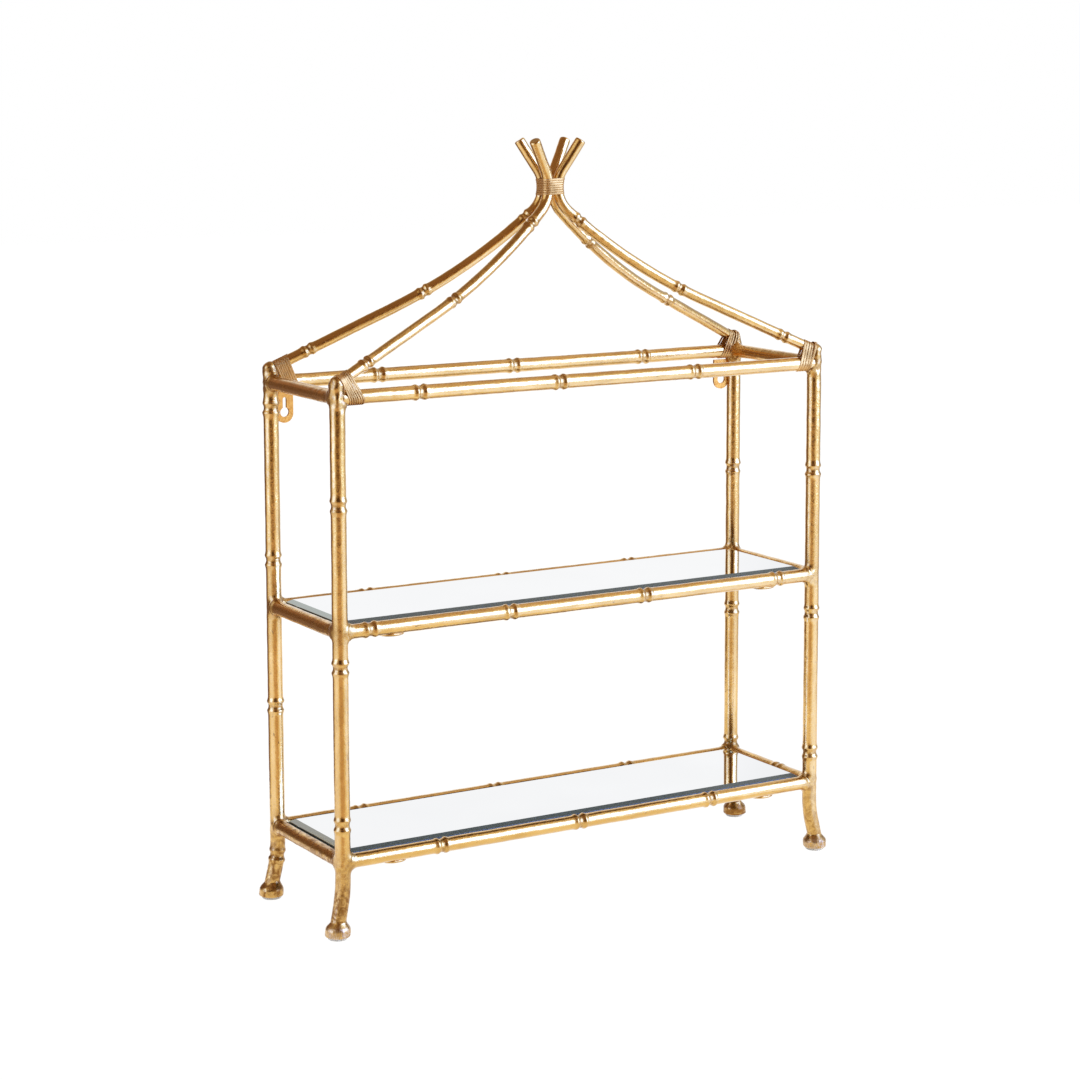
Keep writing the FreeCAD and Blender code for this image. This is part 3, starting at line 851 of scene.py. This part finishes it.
# Hoof feet: a flared lathe form that leans from the leg to its sole.
foot_heights = np.array((0.0, 0.5, 1.4, 4.0, 5.4, 6.8, 8.2, 9.6, 11.0, 12.2, 13.6)) * MM
foot_width_shares = (0.95, 0.99, 1.0, 1.0, 1.0, 0.97, 0.895, 0.79, 0.69, 0.63, 0.60)
foot_sides = 48
foot_rings = 40
foot_lump_size = 6.0 * MM
foot_lump_depth = 0.5 * MM
foot_lean_height = 8.0 * MM
foot_age_shares = {"front_left": 0.8, "front_right": 0.8, "rear_left": 1.0, "rear_right": 1.7}
foot_most_age = 2.0
worn_height = 10.0 * MM
worn_share = 0.9
for seed, (corner, signs) in enumerate(corners.items()):
    low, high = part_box("foot_" + corner)
    centre = np.array((low + high) / 2)
    foot_radius = (high.x - low.x) / 2
    out = np.array((signs[0] * math.cos(leg_plan), signs[1] * math.sin(leg_plan), 0.0))
    heights = np.linspace(0, foot_heights[-1], foot_rings)
    widths = foot_radius * np.interp(heights, foot_heights, foot_width_shares)
    angles = np.linspace(0, 2 * math.pi, foot_sides, endpoint=False)
    outward = np.stack((np.cos(angles), np.sin(angles), np.zeros(foot_sides)), axis=1)
    lean_back = np.clip(heights - foot_lean_height, 0, None) * math.tan(leg_splay)
    sole = np.array((centre[0], centre[1], low.z))
    middles = sole + UP * heights[:, None] - out * lean_back[:, None]
    skin = (middles[:, None, :] + outward[None, :, :] * widths[:, None, None]).reshape(-1, 3)
    lumps = foot_lump_depth * (wobble(skin, foot_lump_size, foot_seed + seed) - 0.5)
    skin = skin + np.tile(outward, (foot_rings, 1)) * lumps[:, None]
    piece = loft("foot_" + corner + "_hoof", skin.reshape(foot_rings, foot_sides, 3))
    set_straight(piece, skin)
    mottle = patina_spread_share * wobble(skin, patina_size, foot_age_seed + seed)
    set_values(piece, "patina", foot_age_shares[corner] + mottle, foot_most_age)
    if signs[1] < 0:
        set_values(piece, "worn", worn_share * (1 - (skin[:, 2] - low.z) / worn_height))
    put_on(piece, "foot_" + corner, "frame", "gilded_metal", gold)

# Soft tabs under the rails that carry the shelves.
tab_rings = 24
tab_sides = 32
tab_softness = 2.3
tab_end_share = 0.995
tab_lump_size = 4.0 * MM
tab_lump_depth = 0.15 * MM
tab_age_share = 0.35
tab_swell = np.array((4.0, 0.0, 1.1)) * MM
for seed, node in enumerate(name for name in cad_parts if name.startswith("tab")):
    low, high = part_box(node)
    centre = np.array((low + high) / 2)
    halves = np.array((high - low) / 2) + tab_swell
    along = np.linspace(-tab_end_share, tab_end_share, tab_rings)
    narrowing = (1 - np.abs(along) ** tab_softness) ** (1 / tab_softness)
    angles = np.linspace(0, 2 * math.pi, tab_sides, endpoint=False)
    section = np.stack((np.cos(angles), np.sin(angles)), axis=1)
    section = np.sign(section) * np.abs(section) ** (2 / tab_softness)
    rings = np.zeros((tab_rings, tab_sides, 3))
    rings[:, :, 0] = along[:, None]
    rings[:, :, 1:] = narrowing[:, None, None] * section[None, :, :]
    skin = (centre + rings * halves).reshape(-1, 3)
    inward = unit(centre - skin)
    lumps = tab_lump_depth * (0.5 + wobble(skin, tab_lump_size, tab_seed + seed))
    skin = skin + inward * lumps[:, None]
    piece = loft(node + "_lump", skin.reshape(tab_rings, tab_sides, 3))
    set_straight(piece, skin)
    mottle = patina_spread_share * wobble(skin, patina_size, tab_age_seed + seed)
    set_values(piece, "patina", tab_age_share + mottle)
    put_on(piece, node, "frame", "gilded_metal", gold)

# Mirrors. The front and rear bevels are painted dark, a painted reflection of the dark room, and the
# side bevels are silvered glass that catch the light.
mirror_face = silvered_glass("mirror_face", (0.905, 0.915, 0.93), 0.012)
mirror_bevel_painted_dark = dark_glass("mirror_bevel_painted_dark", (0.09, 0.112, 0.118), (0.12, 0.148, 0.154))
side_bevel = silvered_glass("mirror_side_bevel", (0.50, 0.58, 0.57), 0.1)
edge_glass = dark_glass("glass_edge", (0.045, 0.066, 0.068), (0.085, 0.12, 0.12))
mirror_back = backing_paint()
bevel_width = 4.5 * MM
bevel_drop = 2.5 * MM
arris_width = 0.2 * MM
level_slope = 0.99
bevel_slope = 0.5
for level in ("middle", "bottom"):
    low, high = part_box("mirror_" + level)
    rings = []
    for inset, height in ((0, low.z), (0, high.z - bevel_drop), (bevel_width, high.z)):
        left = low.x + inset
        right = high.x - inset
        front = low.y + inset
        back = high.y - inset
        outline = ((left, front), (right, front), (right, back), (left, back))
        rings.append([(x, y, height) for x, y in outline])
    piece = loft("mirror_" + level + "_glass", np.array(rings))
    put_on(piece, "mirror_" + level, "shelf_" + level, "mirror_glass",
           mirror_face, mirror_bevel_painted_dark, side_bevel, edge_glass, mirror_back)
    for polygon in piece.data.polygons:
        polygon.use_smooth = False
        normal = polygon.normal
        if normal.z > level_slope:
            polygon.material_index = 0
        # Side bevels are silvered glass; the front and rear ones are painted dark.
        elif normal.z > bevel_slope:
            polygon.material_index = 2 if abs(normal.x) > abs(normal.y) else 1
        elif normal.z > -bevel_slope:
            polygon.material_index = 3
        else:
            polygon.material_index = 4
    arris = piece.modifiers.new("arris", "BEVEL")
    arris.width = arris_width
    arris.segments = 1

# Frame nodes that stay as they are, with their own finishes.
plate = plate_gold()
board = hardboard()
pad = pad_plastic()
for name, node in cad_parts.items():
    if name.startswith("foot_pad"):
        finish = pad
    elif name.startswith("hanger"):
        finish = plate
    elif name.startswith("backing_board"):
        finish = board
    else:
        continue
    node.data.materials.clear()
    node.data.materials.append(finish)


def seen_directly(tree):
    """1 for rays from the camera, from metal and through glass, 0 for the rest."""
    path = tree.nodes.new("ShaderNodeLightPath").outputs
    direct = math_node(tree, "ADD", path["Is Camera Ray"], path["Is Glossy Ray"], clamp=True)
    return math_node(tree, "ADD", direct, path["Is Transmission Ray"], clamp=True)


def blend(tree, ending, share, first, second):
    """End a node tree with a blend of two shaders."""
    choose = tree.nodes.new("ShaderNodeMixShader")
    output = tree.nodes.new(ending)
    tree.links.new(share, choose.inputs[0])
    tree.links.new(first.outputs[0], choose.inputs[1])
    tree.links.new(second.outputs[0], choose.inputs[2])
    tree.links.new(choose.outputs[0], output.inputs["Surface"])


# Studio: a white world for what the camera, metal and glass see, and a plain level for the rest.
world = bpy.data.worlds.new("studio")
bpy.context.scene.world = world
world.use_nodes = True
tree = world.node_tree
tree.nodes.clear()
plain_level = 0.45
plain = tree.nodes.new("ShaderNodeBackground")
plain.inputs["Strength"].default_value = plain_level
plain.inputs["Color"].default_value = (1, 1, 1, 1)
white = tree.nodes.new("ShaderNodeBackground")
white.inputs["Strength"].default_value = 1.0
white.inputs["Color"].default_value = (1, 1, 1, 1)
blend(tree, "ShaderNodeOutputWorld", seen_directly(tree), plain, white)


def flat_panel(name, points):
    mesh = bpy.data.meshes.new(name)
    mesh.from_pydata(points, [], [list(range(len(points)))])
    panel = bpy.data.objects.new(name, mesh)
    bpy.context.scene.collection.objects.link(panel)
    return panel


# Floor: white to the camera, metal and glass, with at most a trace of the object's shadow.
floor_half = 8.0
floor_paint = (0.9, 0.9, 0.9, 1)
floor_glow_share = 0.95
floor_glow = 1.06
shadow_reach = 0.45
shadow_fade = 0.7
floor = flat_panel("floor", [(-floor_half, -floor_half, 0), (floor_half, -floor_half, 0),
                             (floor_half, floor_half, 0), (-floor_half, floor_half, 0)])
floor_material = bpy.data.materials.new("floor_white")
floor_material.use_nodes = True
tree = floor_material.node_tree
tree.nodes.clear()
paint = tree.nodes.new("ShaderNodeBsdfDiffuse")
paint.inputs["Color"].default_value = floor_paint
glow = tree.nodes.new("ShaderNodeEmission")
glow.inputs["Strength"].default_value = floor_glow
distance = tree.nodes.new("ShaderNodeVectorMath")
distance.operation = "LENGTH"
tree.links.new(tree.nodes.new("ShaderNodeTexCoord").outputs["Object"], distance.inputs[0])
glow_share = range_node(tree, distance.outputs["Value"], shadow_reach, shadow_reach + shadow_fade,
                        floor_glow_share, 1.0)
shown = math_node(tree, "MULTIPLY", seen_directly(tree), glow_share)
blend(tree, "ShaderNodeOutputMaterial", shown, paint, glow)
floor.data.materials.append(floor_material)

# Camera, at the photograph's viewing angle.
film_width = 36.0
photo_side = 1080
focal_pixels = 2660.4
centre_row = 420
yaw = 0.5394
pitch = 0.1346
roll = -0.0021
camera_place = Vector((-1.18736, -1.96584, 0.71769))
camera_data = bpy.data.cameras.new("camera")
camera = bpy.data.objects.new("camera", camera_data)
bpy.context.scene.collection.objects.link(camera)
bpy.context.scene.camera = camera
camera_data.sensor_width = film_width
camera_data.lens = focal_pixels / photo_side * film_width
camera_data.shift_y = (centre_row - photo_side / 2) / photo_side
ahead = math.cos(pitch)
forward = Vector((math.sin(yaw) * ahead, math.cos(yaw) * ahead, -math.sin(pitch)))
right = Vector((math.cos(yaw), -math.sin(yaw), 0))
upward = right.cross(forward)
turn = Matrix((right, upward, -forward)).transposed() @ Matrix.Rotation(roll, 3, "Z")
camera.matrix_world = Matrix.Translation(camera_place) @ turn.to_4x4()

# Painted reflections: glowing sheets round the white sweep that stand in for an unlit room. Only the
# metal and the glass see them, and they light nothing and cast no shadow.
painted_reflection_material = bpy.data.materials.new("room")
painted_reflection_material.use_nodes = True
tree = painted_reflection_material.node_tree
tree.nodes.clear()
tint = tree.nodes.new("ShaderNodeAttribute")
tint.attribute_name = "tint"
clear = tree.nodes.new("ShaderNodeBsdfTransparent")
glow = tree.nodes.new("ShaderNodeEmission")
tree.links.new(tint.outputs["Color"], glow.inputs["Color"])
blend(tree, "ShaderNodeOutputMaterial", tint.outputs["Alpha"], clear, glow)


def painted_reflection_sheet(name, columns, tints):
    """A painted-reflection sheet between two rows of points, which only reflections show. Each
    column has a colour and how solid it is there.
    """
    mesh = bpy.data.meshes.new(name)
    count = len(columns)
    points = [low for low, _ in columns] + [high for _, high in columns]
    faces = [(place, place + 1, place + 1 + count, place + count) for place in range(count - 1)]
    mesh.from_pydata(points, [], faces)
    attribute = mesh.attributes.new("tint", "FLOAT_COLOR", "POINT")
    attribute.data.foreach_set("color", np.array([*tints, *tints], np.float32).ravel())
    panel = bpy.data.objects.new(name, mesh)
    bpy.context.scene.collection.objects.link(panel)
    panel.data.materials.append(painted_reflection_material)
    panel.visible_camera = False
    panel.visible_diffuse = False
    panel.visible_shadow = False
    panel.visible_transmission = False


def round_about(azimuth, distance, height):
    """A point at an angle from the front towards the right, in degrees."""
    angle = math.radians(azimuth)
    return (math.sin(angle) * distance, -math.cos(angle) * distance, height)


margins_per_sheet = 6
sheet_columns = 9


def soft_sheet(name, first, last, low, high, colour):
    """A sheet between two azimuths and two rows, each a distance and a height, with faded ends."""
    margin = (last - first) / margins_per_sheet
    azimuths = np.linspace(first - margin, last + margin, sheet_columns)
    columns = [(round_about(azimuth, *low), round_about(azimuth, *high)) for azimuth in azimuths]
    from_end = np.minimum(azimuths - azimuths[0], azimuths[-1] - azimuths)
    solids = np.clip(from_end / (2 * margin), 0, 1)
    painted_reflection_sheet(name, columns, [(*colour, solid) for solid in solids])


# Colours of the painted reflections. The dark ones paint the room's shade into the metal and the
# glass.
painted_dark_doorway = (0.06, 0.033, 0.02)
painted_room_dark = (0.18, 0.097, 0.06)
painted_room_brown = (0.27, 0.14, 0.08)
painted_room_umber = (0.33, 0.183, 0.115)
painted_room_shade = (0.28, 0.164, 0.105)
painted_room_warm = (0.68, 0.57, 0.50)
painted_room_grey = (0.34, 0.255, 0.19)
painted_room_pale = (0.56, 0.58, 0.64)
dim_floor = (0.735, 0.55, 0.425)
side_floor = (0.72, 0.70, 0.72)
back_floor = (0.24, 0.148, 0.11)
# Bluish glows brighter than white: painted highlights on the floor sheets and the softbox faces.
# They are bluer than the lamps so that the gold's highlights turn pale.
left_floor = (1.1, 1.2, 1.75)
bright_floor = (1.2, 1.48, 2.7)
right_glow = (2.2, 3.75, 11.0)
left_glow = (1.5, 2.2, 5.4)
skirt = 1 * MM

# Walls of the room as painted reflections, whose dark colours paint the dark streaks in the metal:
# the azimuths they span, their distance, their lowest and highest point.
painted_reflection_walls = {
    "front_wall": (-62, 2, 2.1, 0.0, 3.0, painted_room_brown),
    "front_doorway": (-49, -15, 2.05, 0.12, 1.2, painted_dark_doorway),
    "back_left_wall": (186, 238, 2.2, 0.0, 0.95, painted_room_dark),
    "back_left_upper_wall": (186, 238, 2.2, 0.95, 3.0, painted_room_umber),
    "right_wall": (72, 132, 2.6, 0.0, 2.4, painted_room_pale),
}
for name, (first, last, distance, lowest, highest, colour) in painted_reflection_walls.items():
    soft_sheet(name, first, last, (distance, lowest), (distance, highest), colour)

# Floors of the room as painted reflections: a painted dim floor in front, a dark one at the back
# left, painted bright bluish ones at the left and front right, and a grey one further right. The
# table gives the azimuths they span, and where they start and end.
painted_reflection_floors = {
    "front_floor": (-60, -8, 0.4, 2.1, dim_floor),
    "back_left_floor": (180, 236, 0.5, 2.2, back_floor),
    "left_floor": (-108, -66, 0.4, 2.1, left_floor),
    "right_floor": (12, 70, 0.3, 2.0, bright_floor),
    "far_right_floor": (70, 132, 0.9, 2.4, side_floor),
}
for name, (first, last, nearest, farthest, colour) in painted_reflection_floors.items():
    soft_sheet(name, first, last, (nearest, skirt), (farthest, skirt), colour)

# The canopy overhead as a painted reflection, dark over the front and left, warm and paler at the
# right and grey behind: the azimuth, distance and colour of each point of its rim.
canopy_height = 1.9
canopy_rim = (
    (-150, 1.6, painted_room_shade),
    (-120, 1.7, painted_room_shade),
    (-60, 1.8, painted_room_shade),
    (0, 1.7, painted_room_shade),
    (14, 1.5, painted_room_shade),
    (26, 1.35, painted_room_warm),
    (40, 1.15, painted_room_warm),
    (80, 1.3, painted_room_warm),
    (105, 1.5, painted_room_warm),
    (128, 2.35, painted_room_warm),
    (142, 2.9, painted_room_grey),
    (156, 2.4, painted_room_grey),
    (180, 2.3, painted_room_grey),
    (210, 2.8, painted_room_grey),
)
canopy_columns = [((0.0, 0.0, canopy_height), round_about(azimuth, distance, canopy_height))
                  for azimuth, distance, _ in canopy_rim]
painted_reflection_sheet("canopy", canopy_columns, [(*colour, 1.0) for _, _, colour in canopy_rim])

# Softboxes, aimed a little above the middle shelf.
aim_height = 0.3


def softbox(name, azimuth, height, distance, width, tall, glow, sheen):
    """A rectangular lamp that faces the object and is hidden from the metal, and on its face a
    glowing sheet, a painted sheen bluer than the lamp, that the metal shows in its place.
    """
    lamp = bpy.data.lights.new(name, "AREA")
    lamp.shape = "RECTANGLE"
    lamp.size = width
    lamp.size_y = tall
    lamp.energy = glow * width * tall * math.pi
    box = bpy.data.objects.new(name, lamp)
    bpy.context.scene.collection.objects.link(box)
    angle = math.radians(azimuth)
    box.location = round_about(azimuth, distance, height)
    target = Vector((0, 0, aim_height))
    box.rotation_mode = "QUATERNION"
    box.rotation_quaternion = (target - box.location).to_track_quat("-Z", "Y")
    box.visible_camera = False
    box.visible_glossy = False
    across = Vector((math.cos(angle), math.sin(angle), 0)) * width / 2
    upward = across.normalized().cross(box.location - target).normalized() * tall / 2
    ends = [box.location + side for side in (-across, across)]
    columns = [(end - upward, end + upward) for end in ends]
    # Its face: a painted sheen that only reflections show.
    painted_reflection_sheet(name + "_face", columns, [(*sheen, 1.0)] * 2)


softbox("right_softbox", azimuth=41, height=1.05, distance=2.2, width=1.95, tall=1.9, glow=3.4,
        sheen=right_glow)
softbox("left_softbox", azimuth=-91, height=0.75, distance=2.2, width=1.5, tall=1.5, glow=1.4,
        sheen=left_glow)

bpy.context.scene.view_settings.view_transform = "Standard"
